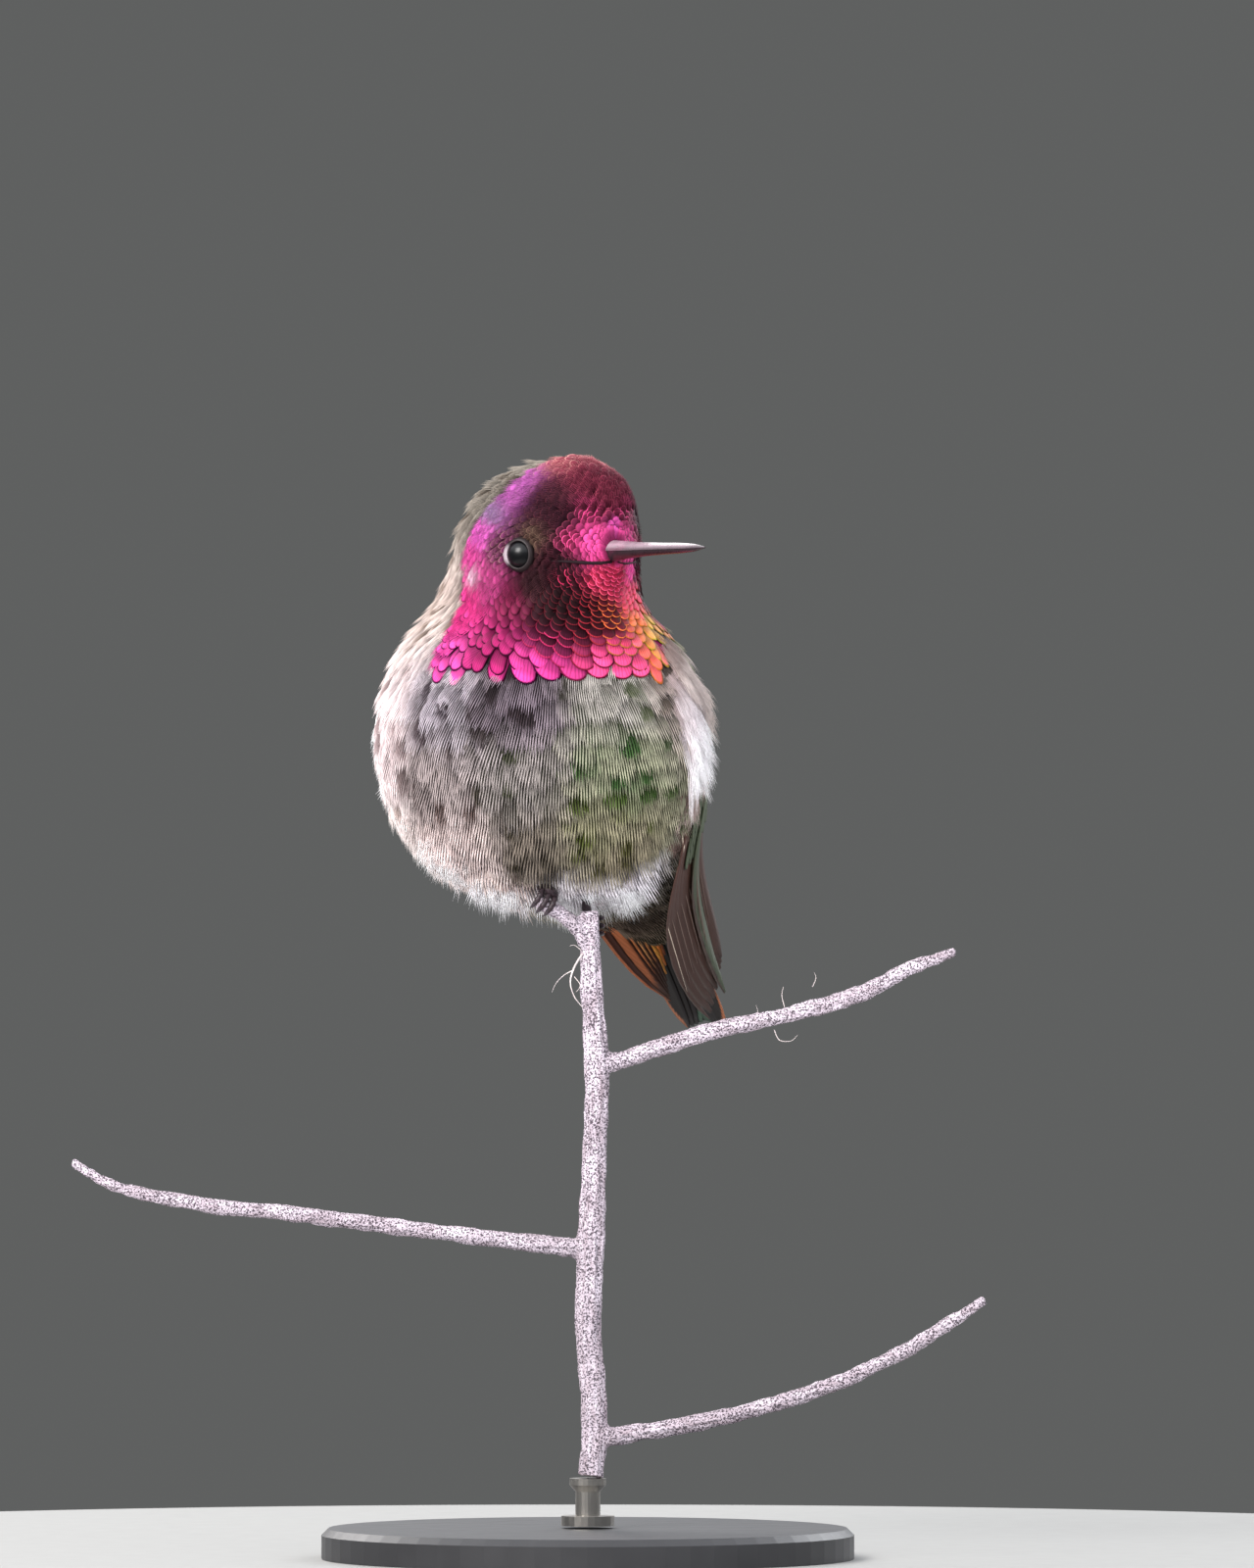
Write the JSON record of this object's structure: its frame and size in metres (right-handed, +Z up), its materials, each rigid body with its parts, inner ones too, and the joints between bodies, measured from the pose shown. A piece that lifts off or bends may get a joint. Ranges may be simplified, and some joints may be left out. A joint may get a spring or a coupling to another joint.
{
  "type": "hummingbird, adult male of Anna's species, perched",
  "caption": "Life-size perched hummingbird with fluffed plumage and a bright gorget, gripping a cut dead twig that a flat round stand holds upright.",
  "frame": {"origin": "middle of the stand's flat underside, below the foot of the twig", "axes": "+Z up along the twig; the bird's breast faces -Y and a little to -X; its bill points between -Y and +X"},
  "size_m": [0.1099, 0.0757, 0.1322],
  "materials": {
    "plumage": "soft feather, grey barbs over dark centres with green flanks",
    "gorget": "iridescent scale feathers, magenta to crimson",
    "flight_feathers": "smooth dark brown vanes with rufous edges",
    "bill": "dark horn, satin",
    "eye": "wet, near black",
    "foot": "fine dark scales",
    "dead_wood": "pale dry bark with dark specks",
    "stand_base": "satin dark grey paint",
    "stand_rod": "turned, satin"
  },
  "bodies": {
    "root": {"trunk": "plumage", "head": "gorget", "neck": "gorget", "wing_left": "flight_feathers", "wing_right": "flight_feathers", "tail": "flight_feathers", "bill_upper": "bill", "bill_lower": "bill", "eye_left": "eye", "eye_right": "eye", "leg_left": "foot", "leg_right": "foot", "perch_stem": "dead_wood", "perch_fork": "dead_wood", "perch_branch_upper": "dead_wood", "perch_branch_left": "dead_wood", "perch_branch_lower": "dead_wood", "stand_base": "stand_base", "stand_rod": "stand_rod"}
  },
  "joints": []
}
